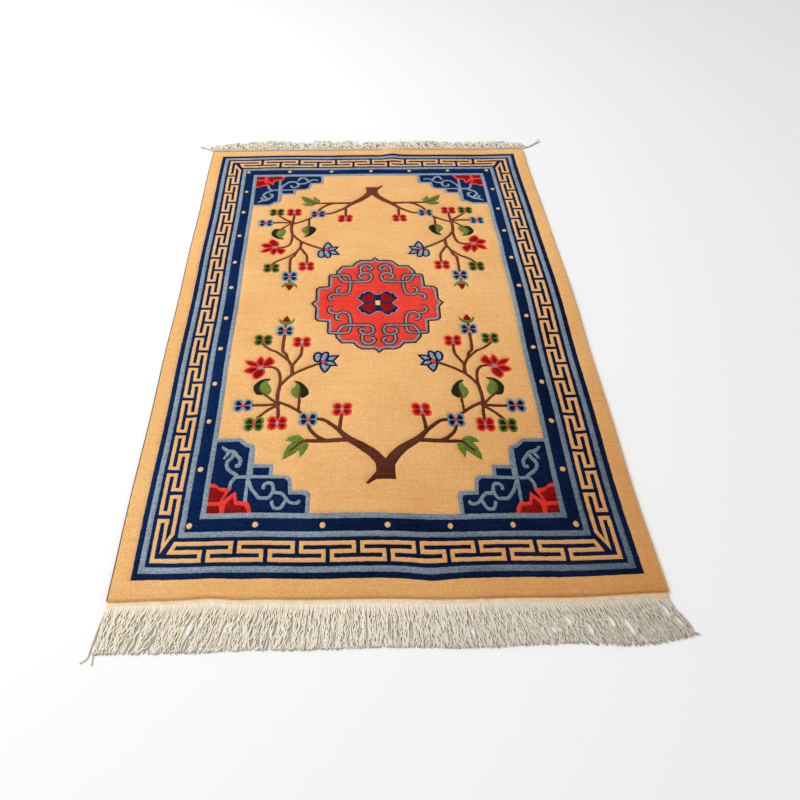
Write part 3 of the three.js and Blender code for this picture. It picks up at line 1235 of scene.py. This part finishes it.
FAR_LOOSE = (
    Loose(((-603, 901), (-630, 918), (-647, 929), (-666, 936)), (3.8, 3.6, 3, 3.2)),
    Loose(
        ((603, 901), (622, 911), (638, 917), (659, 935), (675, 951), (684, 960)),
        (3.2, 3.2, 2.6, 3.2, 6.4, 5),
    ),
)


@dataclass(frozen=True)
class Parting:
    """A gap between neighbouring cords: its place across the end and past the root, and its size."""

    x: float
    reach: float
    length: float
    width: float
    spread: float = 9
    taper: float = 1.4
    share: float = 0.65

    def push(self, x: float, lean: float, reach: float) -> float:
        """How far a cord is pushed aside.

        Args:
            x: Where the cord starts.
            lean: Its lean in radians.
            reach: How far past the root the cord is looked at.

        Returns:
            The push along x.
        """
        off = x - (self.x - math.tan(lean) * self.reach)
        along = (reach - self.reach) / (self.length * self.taper) + 0.5
        if not 0 < along < 1:
            return 0.0
        push = self.width * self.share * math.sin(math.pi * along) * math.exp(-abs(off) / self.spread)
        return math.copysign(push, off)


NEAR_PARTINGS = tuple(
    Parting(*row)
    for row in (
        (-573, 19, 22, 5), (-558, 14, 18, 3), (-527, 36, 26, 6), (-549, 68, 18, 4), (-425, 45, 48, 8),
        (-428, 79, 26, 6), (-354, 74, 70, 10), (-327, 54, 34, 6), (-239, 51, 36, 7), (-185, 69, 28, 6),
        (-164, 70, 26, 6), (98, 43, 36, 6), (154, 67, 44, 6), (174, 54, 34, 7), (241, 45, 22, 5),
        (276, 57, 20, 7), (323, 56, 26, 9), (347, 54, 20, 8), (422, 52, 28, 11), (439, 80, 34, 12),
        (529, 76, 30, 9), (591, 20, 26, 9), (555, 24, 20, 6), (612, 39, 22, 9),
        (-500, 60, 30, 5), (-470, 30, 30, 4), (-390, 40, 30, 5), (-290, 30, 24, 4), (-120, 40, 40, 5),
        (-60, 60, 36, 5), (0, 40, 40, 5), (50, 60, 40, 6), (130, 30, 30, 5), (210, 40, 36, 6),
        (300, 30, 24, 6), (380, 30, 26, 8), (470, 34, 34, 9), (505, 50, 40, 9), (570, 56, 40, 9),
    )
)
FAR_PARTINGS = (Parting(-215, 40, 80, 14), Parting(330, 40, 80, 7))


@dataclass
class Fringe:
    """The warp cords past one ledge, some lying on the floor and some on top of these."""

    weave: Weave
    end: End
    lies: tuple[Lie, ...]
    loose: tuple[Loose, ...]
    partings: tuple[Parting, ...]
    count: int
    # cords lying on the floor; the cotton's painted shade darkens them, so the gaps between the upper cords
    # look shaded
    bed: int
    half_thickness: float
    sway: float
    sway_length: Point
    curl: float
    layer: float
    slip: float
    slip_reach: Point
    ragged: float
    seed: int
    stray: float = 0.035
    fan: float = 0.0
    fan_length: float = 26
    points: int = 20
    bed_points: int = 10
    heading: float = 6
    heading_half: float = 2.1
    overlap: float = 0.3
    same_spot: float = 1e-6
    side_gap: float = 2
    jitter: float = 0.8
    ragged_length: float = 30
    sway_share: Point = (0.3, 1.6)
    tangle_lengths: Triple = (9, 5, 9)
    root_swell: float = 1.25
    tip_taper: float = 0.1

    def lie(self, x: float) -> tuple[float, float]:
        """How the cords lie at a place.

        Args:
            x: The place across the end.

        Returns:
            Their lean in radians, and their length.
        """
        xs = [row.x for row in self.lies]
        lean = float(np.interp(x, xs, [row.lean for row in self.lies]))
        return math.radians(lean), float(np.interp(x, xs, [row.length for row in self.lies]))

    def cord(self, share: float, low: bool, rng: random.Random) -> list[tuple[Vector, float]]:
        """One cord from the heading to its tip.

        Args:
            share: Where it starts, from 0 to 1 across the end.
            low: Whether it is one of those that lie on the floor.
            rng: The source of its wander.

        Returns:
            Its points in the part's frame, each with the cord's half thickness.
        """
        span = self.weave.half_width - self.side_gap
        x = -span + 2 * span * share + rng.uniform(-self.jitter, self.jitter)
        lean, length = self.lie(x)
        lean += rng.gauss(0, self.stray) + self.fan * noise.noise((x / self.fan_length, self.seed, 0))
        clump = self.ragged * noise.noise((x / self.ragged_length, 7, 0))
        length += rng.uniform(-self.ragged, self.ragged) + clump + low
        wave, phase = rng.uniform(*self.sway_length), rng.uniform(0, math.tau)
        sway, curl = self.sway * rng.uniform(*self.sway_share), self.curl * rng.uniform(-1, 1)
        steps = (self.bed_points if low else self.points) - 2
        if low:
            wave, sway, curl = 2 * wave, sway / 2, curl / 2
        angles = [
            lean + sway * math.sin(math.tau * length * t / wave + phase) * min(5 * t, 1) + curl * t**4
            for t in (i / steps for i in range(steps))
        ]
        out = np.cumsum([0, *(math.cos(a) for a in angles)])
        side = np.cumsum([0, *(math.sin(a) for a in angles)])
        reach = math.cos(lean) * length / max(float(out.max()), 1)
        level = 0 if low else (2 + rng.choice((0, 0, 1))) * self.layer
        start = self.weave.ledge_half_length
        across, along = self.slip_reach
        p, q, r = self.tangle_lengths
        made = [(Vector((x, self.end.value * (start + self.overlap), level / 2)), self.heading_half)]
        for i, (a, b) in enumerate(zip(side * reach, out * reach, strict=True)):
            t = i / steps
            slip = self.slip * min(4 * t, 1) * noise.noise(((x + a) / across, b / along, self.seed))
            slip += sum(parting.push(x, lean, b) for parting in self.partings)
            tangle = self.layer * noise.noise((a / p, x / q, b / r)) * t
            high = level * min(0.5 + 6 * t, 1) * (1 - 0.25 * t**3) + tangle
            spot = Vector((x + a + slip, self.end.value * (start + self.heading + b), max(high, 0)))
            made.append((spot, self.half_thickness * (1 - self.tip_taper * t if i else self.root_swell)))
        return made

    def laid(self, cord: Sequence[tuple[Vector, float]]) -> list[tuple[Vector, float]]:
        """A cord where the weave and the floor have it.

        Args:
            cord: Its points, each with the cord's half thickness.

        Returns:
            The same in metres.
        """
        flat = self.weave.edge([spot.xy for spot, _ in cord])
        lift = self.weave.lift(flat)
        return [
            (Vector((x, y, up + half + spot.z)) * MM, half * MM)
            for (x, y), up, (spot, half) in zip(flat, lift, cord, strict=True)
        ]

    def build(self) -> bpy.types.Object:
        """Makes all cords of the end as one piece.

        Returns:
            The piece.
        """
        rng = random.Random(self.seed)
        cords = [
            self.laid(self.cord((i + 0.5) / count, low, rng))
            for count, low in ((self.bed, True), (self.count, False))
            for i in range(count)
        ]
        for loose in self.loose:
            line = smooth(loose.line, steps=3)
            share = np.linspace(0, 1, len(line))
            half = np.interp(share, np.linspace(0, 1, len(loose.half)), loose.half)
            cords.append(self.laid([(Vector((x, y, 0)), h) for (x, y), h in zip(line, half, strict=True)]))
        name = f"cords_{self.end.name.lower()}"
        curve = bpy.data.curves.new(name, "CURVE")
        curve.dimensions = "3D"
        curve.bevel_depth = 1
        curve.bevel_resolution = 1
        curve.use_fill_caps = True
        for cord in cords:
            spline = curve.splines.new("POLY")
            spline.points.add(len(cord) - 1)
            for point, (spot, half) in zip(spline.points, cord, strict=True):
                point.co = (*spot, 1)
                point.radius = half
        source = show(bpy.data.objects.new(name, curve))
        graph = bpy.context.evaluated_depsgraph_get()
        mesh = bpy.data.meshes.new_from_object(source.evaluated_get(graph))
        bpy.data.objects.remove(source)
        bpy.data.curves.remove(curve)
        mesh.name = name
        bm = bmesh.new()
        bm.from_mesh(mesh)
        bmesh.ops.remove_doubles(bm, verts=bm.verts, dist=self.same_spot)
        fill(mesh, bm)
        log.info("%s: %d cords, %d faces", name, len(cords), len(mesh.polygons))
        return bpy.data.objects.new(name, mesh)


# ---------------------------------------------------------------- finishes


def linear(colour: str) -> Colour:
    """A colour as shaders take it, from its web notation."""
    parts = [int(colour[i : i + 2], 16) / 255 for i in (0, 2, 4)]
    return (*(p / 12.92 if p <= 0.04045 else ((p + 0.055) / 1.055) ** 2.4 for p in parts), 1.0)


class Graph:
    """A material's node graph while it is being made."""

    def __init__(self, name: str) -> None:
        """Starts a material with one cloth shader.

        Args:
            name: The material's name.
        """
        self.material = bpy.data.materials.new(name)
        self.material.use_nodes = True
        self.tree = self.material.node_tree
        self.tree.nodes.clear()
        self.shader = self.tree.nodes.new("ShaderNodeBsdfPrincipled")
        output = self.tree.nodes.new("ShaderNodeOutputMaterial")
        self.tree.links.new(self.shader.outputs["BSDF"], output.inputs["Surface"])
        self.places = self.add("ShaderNodeTexCoord", "Object", {})

    def add(self, kind: str, output: str | int, inputs: Inputs, **settings: str) -> Socket:
        """Adds a node.

        Args:
            kind: The node's type.
            output: The output that is wanted of it.
            inputs: What its inputs are set to or linked to.
            settings: Its own options.

        Returns:
            The output.
        """
        node = self.tree.nodes.new(kind)
        for key, value in settings.items():
            setattr(node, key, value)
        self.feed(node, inputs)
        return node.outputs[output]

    def feed(self, node: bpy.types.Node, inputs: Inputs) -> None:
        """Sets or links inputs of a node.

        Args:
            node: The node.
            inputs: The value or the socket for each input.
        """
        for key, value in inputs.items():
            if isinstance(value, Socket):
                self.tree.links.new(value, node.inputs[key])
            else:
                node.inputs[key].default_value = value

    def finish(self, colour: Socket | Colour, roughness: float, specular: float = 0.0) -> None:
        """Gives the shader its colour and its sheen."""
        sheen = {"Roughness": roughness, "Specular IOR Level": specular}
        self.feed(self.shader, {"Base Color": colour, **sheen})

    def grain(self, scale: float | Triple, detail: float) -> Socket:
        """A noise value.

        Args:
            scale: Its features in a metre, or those along each axis.
            detail: Its finer octaves.

        Returns:
            The value, about 0.5.
        """
        places, stretch = self.places, scale
        if isinstance(scale, tuple):
            places = self.add("ShaderNodeMapping", "Vector", {"Vector": places, "Scale": scale})
            stretch = 1
        return self.add("ShaderNodeTexNoise", "Fac", {"Vector": places, "Scale": stretch, "Detail": detail})

    def spread(self, value: Socket, low: float, high: float, span: Point = (0.3, 0.7)) -> Socket:
        """A value mapped from a span to another.

        Args:
            value: The value.
            low: What the span's start becomes.
            high: What its end becomes.
            span: The values where it starts and ends.

        Returns:
            The new value.
        """
        ends = {"From Min": span[0], "From Max": span[1], "To Min": low, "To Max": high}
        return self.add("ShaderNodeMapRange", "Result", {"Value": value, **ends})

    def maths(self, kind: str, first: Socket, second: Socket | float) -> Socket:
        """Two values put together in the way that kind names."""
        return self.add("ShaderNodeMath", "Value", {0: first, 1: second}, operation=kind)

    def blend(self, share: Socket, first: Socket | Colour, second: Colour, kind: str = "MIX") -> Socket:
        """A colour mixed with a share of a second one."""
        inputs = {0: share, 6: first, 7: second}
        return self.add("ShaderNodeMix", 2, inputs, data_type="RGBA", blend_type=kind)

    def painted_shade_gradient(self, colour: Socket, painted_shade_tint: Triple, lean: Point, span: Point) -> Socket:
        """A colour with painted shade: it darkens along one way over the floor, where the light falls off.

        Args:
            colour: The colour where it is lightest, with no painted shade.
            painted_shade_tint: What the painted shade leaves of its red, green and blue where it is darkest.
            lean: The way the painted shade darkens it.
            span: How far along that way the painted shade starts and ends.

        Returns:
            The colour.
        """
        inputs = {0: self.places, 1: (*lean, 0)}
        place = self.add("ShaderNodeVectorMath", "Value", inputs, operation="DOT_PRODUCT")
        return self.blend(self.spread(place, 0, 1, span), colour, (*painted_shade_tint, 1.0), "MULTIPLY")

    def bump(self, height: Socket, distance: float, strength: float) -> None:
        """Gives the shader a relief."""
        relief = {"Height": height, "Distance": distance, "Strength": strength}
        self.feed(self.shader, {"Normal": self.add("ShaderNodeBump", "Normal", relief)})


@dataclass(frozen=True)
class Wool:
    """Cut wool pile of one dye."""

    name: str
    colour: str
    shade: str
    # painted shade where the light falls off across the rug: the tint it leaves, the way it darkens and its
    # span
    painted_shade_tint: Triple = (0.65, 0.55, 0.5)
    knots: float = 300
    tufts: Triple = (220, 360, 220)
    fibres: float = 1100
    clouds: float = 6
    streaks: Triple = (7, 170, 7)
    lean: Point = (1.0, -1.0)
    painted_shade_span: Point = (0.25, 1.3)
    knot_chance: float = 0.75
    knot_gap: Point = (0.25, 0.75)
    cloud_tint: Point = (-0.05, 0.3)
    streak_tint: Point = (-0.03, 0.25)
    tuft_tint: Point = (-0.25, 0.5)
    # painted shade in the gaps between the tufts, where the bump sinks
    gap_painted_shade: float = 0.3
    fibre_tint: Point = (-0.25, 0.25)
    fibre_relief: float = 0.5
    relief: Point = (0.0014, 0.6)
    roughness: float = 1.0

    def material(self) -> bpy.types.Material:
        """The yarn's material: tufts in rows, uneven dye, fibre ends, painted shade in the gaps between
        tufts, and painted shade that darkens it across the rug.

        Returns:
            The material.
        """
        graph = Graph(self.name)
        clouds = graph.grain(self.clouds, 3)
        streaks = graph.grain(self.streaks, 2)
        tufts = graph.grain(self.tufts, 2)
        fibres = graph.grain(self.fibres, 2)
        cells = {"Vector": graph.places, "Scale": self.knots, "Randomness": self.knot_chance}
        knots = graph.add("ShaderNodeTexVoronoi", "Distance", cells)
        gaps = graph.spread(knots, 0, 1, self.knot_gap)
        share = graph.spread(clouds, *self.cloud_tint)
        share = graph.maths("ADD", share, graph.spread(streaks, *self.streak_tint))
        share = graph.maths("ADD", share, graph.spread(tufts, *self.tuft_tint))
        # painted shade: darker in the gaps between the tufts
        share = graph.maths("ADD", share, graph.maths("MULTIPLY", gaps, self.gap_painted_shade))
        share = graph.maths("ADD", share, graph.spread(fibres, *self.fibre_tint))
        colour = graph.blend(share, linear(self.colour), linear(self.shade))
        # painted shade: darker across the rug, for most yarns towards the near right, where the light falls
        # off
        colour = graph.painted_shade_gradient(colour, self.painted_shade_tint, self.lean, self.painted_shade_span)
        graph.finish(colour, self.roughness)
        height = graph.maths("ADD", graph.maths("MULTIPLY", fibres, self.fibre_relief), tufts)
        graph.bump(graph.maths("SUBTRACT", height, gaps), *self.relief)
        return graph.material


@dataclass(frozen=True)
class Cotton:
    """Undyed cotton: flat-woven at the ledges, spun in the cords."""

    name: str
    colour: str
    shade: str
    stretch: Triple
    patches: float
    # painted shade on the lowest parts, by the floor and under the upper cords: its colour and the heights
    # it fades over
    depth: str
    painted_low_shade_span: Point
    # painted shade where the light falls off across the rug: the tint it leaves, the way it darkens and its
    # span
    painted_shade_tint: Triple = (0.63, 0.61, 0.6)
    lean: Point = (1.0, -1.0)
    painted_shade_span: Point = (0.85, 1.6)
    strand_tint: Point = (0.0, 0.6)
    patch_tint: Point = (-0.2, 0.5)
    relief: Point = (0.001, 0.7)
    roughness: float = 0.95

    def material(self) -> bpy.types.Material:
        """The cotton's material: twist or weft lines, tint from strand to strand, painted shade that darkens
        it across the rug, and painted shade on its lowest parts by the floor.

        Returns:
            The material.
        """
        graph = Graph(self.name)
        strands = graph.grain(self.stretch, 2)
        tint = graph.grain(self.patches, 2)
        share = graph.spread(strands, *self.strand_tint)
        share = graph.maths("ADD", share, graph.spread(tint, *self.patch_tint))
        colour = graph.blend(share, linear(self.colour), linear(self.shade))
        # painted shade: darker towards the near right, where the light falls off
        colour = graph.painted_shade_gradient(colour, self.painted_shade_tint, self.lean, self.painted_shade_span)
        # painted shade by the floor: the lowest parts take the darker depth colour
        height = graph.add("ShaderNodeSeparateXYZ", "Z", {0: graph.places})
        low = graph.spread(height, 1, 0, self.painted_low_shade_span)
        graph.finish(graph.blend(low, colour, linear(self.depth)), self.roughness)
        graph.bump(strands, *self.relief)
        return graph.material


# The third value of each wool is the tint its painted shade leaves where the light falls off; on the
# overcast sides the painted shade falls along the left side.
WOOLS = {
    Yarn.CAMEL: Wool("camel wool", "FECD8B", "E8A866", (0.64, 0.51, 0.40), painted_shade_span=(0.22, 1.6)),
    Yarn.NAVY: Wool(
        "navy wool", "183668", "07153A", (0.8, 0.46, 0.42), lean=(1.2, -0.95), painted_shade_span=(-0.1, 0.65)
    ),
    Yarn.SKY: Wool("sky blue wool", "ACBBC6", "647582", (0.36, 0.38, 0.41)),
    Yarn.CORAL: Wool("coral wool", "FF4F3F", "DC382C", (0.7, 0.5, 0.5)),
    Yarn.RUBY: Wool("ruby wool", "A62120", "700F0C", (0.75, 0.6, 0.6)),
    Yarn.LEAF: Wool("leaf green wool", "869B49", "506525", (0.6, 0.6, 0.55)),
    Yarn.PINE: Wool("pine green wool", "283E28", "121D12", (0.6, 0.6, 0.55)),
    Yarn.BARK: Wool(
        "bark brown wool", "8C4E3C", "562C1E", (0.2, 0.18, 0.16), lean=(0.5, -1.0), painted_shade_span=(0.1, 0.9)
    ),
    Yarn.CREAM: Wool("cream wool", "FFD496", "E8B674"),
    Yarn.UMBER: Wool("umber wool", "5E2B1C", "3C1A10"),
    # the overcast sides: a greyer camel, with painted shade darkening it towards the left side
    Yarn.SELVEDGE_PAINTED_SHADE: Wool(
        "overcast wool with painted shade", "E8C08A", "CCA066", (0.25, 0.29, 0.42), lean=(-1.0, 0.0), painted_shade_span=(-0.2, 0.4)
    ),
}
CORD_DYE = ("FFF8E6", "F4E6CE", (260, 90, 260), 180)
# painted shade: darker by the floor (B08C62) and towards the near right
LEDGE_COTTON = Cotton(
    "ledge weave", "FCEACA", "EACAA4", (60, 700, 60), 60, "B08C62", (0.0, 0.001), painted_shade_tint=(0.8, 0.74, 0.68)
)
# the third colours are painted shade on the lowest parts of the cords, by the floor and under the upper
# cords
CORD_COTTONS = {
    End.NEAR: Cotton("fringe cotton", *CORD_DYE, "A39A90", (0.0012, 0.0038)),
    End.FAR: Cotton("far fringe cotton", *CORD_DYE, "978B7A", (0.0018, 0.007)),
}


# ---------------------------------------------------------------- the studio


@dataclass(frozen=True)
class Studio:
    """The plain floor, the soft light and the camera where the photograph was taken."""

    camera_at: Triple = (-0.0855, -1.3281, 1.309)
    yaw: float = -0.116
    pitch: float = 52.3594
    roll: float = -0.6374
    focal_px: float = 608.75
    centre_px: float = 350.04
    frame_px: float = 800
    sensor: float = 36
    floor_half: float = 12
    floor_grey: float = 0.97
    sky: float = 0.62
    lamp_at: Triple = (-2.8, 0.9, 3.6)
    lamp_aim: Triple = (0, 0.2, 0)
    lamp_size: float = 2.6
    lamp_watts: float = 118

    def camera(self) -> None:
        """Makes the camera."""
        data = bpy.data.cameras.new("camera")
        data.sensor_width = self.sensor
        data.lens = self.sensor * self.focal_px / self.frame_px
        data.shift_x = 0.5 - self.centre_px / self.frame_px
        data.clip_end = 50
        yaw, pitch, roll = (math.radians(a) for a in (self.yaw, self.pitch, self.roll))
        ahead = Vector((math.sin(yaw) * math.cos(pitch), math.cos(yaw) * math.cos(pitch), -math.sin(pitch)))
        right = Vector((math.cos(yaw), -math.sin(yaw), 0))
        up = right.cross(ahead)
        right, up = (
            math.cos(roll) * right + math.sin(roll) * up,
            math.cos(roll) * up - math.sin(roll) * right,
        )
        camera = show(bpy.data.objects.new("camera", data))
        turn = Matrix((right, up, -ahead)).transposed().to_4x4()
        camera.matrix_world = Matrix.Translation(self.camera_at) @ turn
        bpy.context.scene.camera = camera

    def floor(self) -> None:
        """Makes the pale floor."""
        bm = bmesh.new()
        bmesh.ops.create_grid(bm, x_segments=1, y_segments=1, size=self.floor_half)
        floor = show(bpy.data.objects.new("floor", fill(bpy.data.meshes.new("floor"), bm)))
        graph = Graph("floor")
        graph.finish((*[self.floor_grey] * 3, 1), 0.9, 0.1)
        floor.data.materials.append(graph.material)

    def light(self) -> None:
        """Makes the soft light: an even sky and one large lamp over the far left."""
        world = bpy.data.worlds.new("studio")
        world.use_nodes = True
        background = world.node_tree.nodes["Background"]
        background.inputs["Color"].default_value = (1, 1, 1, 1)
        background.inputs["Strength"].default_value = self.sky
        bpy.context.scene.world = world
        data = bpy.data.lights.new("softbox", "AREA")
        data.shape = "DISK"
        data.size = self.lamp_size
        data.energy = self.lamp_watts
        lamp = show(bpy.data.objects.new("softbox", data))
        lamp.location = self.lamp_at
        lamp.rotation_euler = (Vector(self.lamp_aim) - lamp.location).to_track_quat("-Z", "Y").to_euler()
        bpy.context.scene.view_settings.view_transform = "Standard"


# ---------------------------------------------------------------- the rug


@dataclass
class Rug:
    """The whole rug: pile, ledges and fringes."""

    weave: Weave

    def fringe(self, end: End) -> Fringe:
        """The fringe of one end: combed out at the near one, curled up at the far one.

        Args:
            end: The end.

        Returns:
            The fringe.
        """
        if end is End.NEAR:
            return Fringe(
                self.weave, end, NEAR_LIES, NEAR_LOOSE, NEAR_PARTINGS,
                count=470, bed=420, half_thickness=1.25, sway=0.4, sway_length=(15, 40), curl=0.8,
                layer=1.2, slip=3, slip_reach=(11, 40), ragged=1.4, seed=11, fan=0.12,
            )
        return Fringe(
            self.weave, end, FAR_LIES, FAR_LOOSE, FAR_PARTINGS,
            count=240, bed=330, half_thickness=1.5, sway=1.1, sway_length=(20, 34), curl=3,
            layer=2.2, slip=9, slip_reach=(12, 30), ragged=8, seed=23, fan=1.1,
        )

    def place(self, piece: bpy.types.Object, slot: str, node: str) -> None:
        """Adds a piece to the scene, on its body and in place of its CAD node.

        Args:
            piece: The piece.
            slot: Not used.
            node: The CAD node it stands for.
        """
        show(piece)
        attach(piece, BODY)
        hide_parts(node)
        log.info("%s stands for %s", piece.name, node)

    def build(self) -> None:
        """Makes and places every piece."""
        pile = Pile(self.weave).build()
        for yarn in Yarn:
            pile.data.materials.append(WOOLS[yarn].material())
        self.place(pile, "wool_pile", "rug_body")
        trimmings, ledge_cotton = [], LEDGE_COTTON.material()
        for end in End:
            ledge = Ledge(self.weave, end).build()
            ledge.data.materials.append(ledge_cotton)
            self.place(ledge, "wool_pile", "rug_body")
            cords = self.fringe(end).build()
            cords.data.materials.append(CORD_COTTONS[end].material())
            self.place(cords, "cotton_fringe", f"fringe_{end.name.lower()}")
            trimmings += [ledge, cords]


def main() -> None:
    """Builds the studio and the rug."""
    logging.basicConfig(level=logging.INFO, format="%(name)s: %(message)s")
    studio = Studio()
    studio.camera()
    studio.floor()
    studio.light()
    Rug(Weave()).build()


if __name__ == "__main__":
    main()
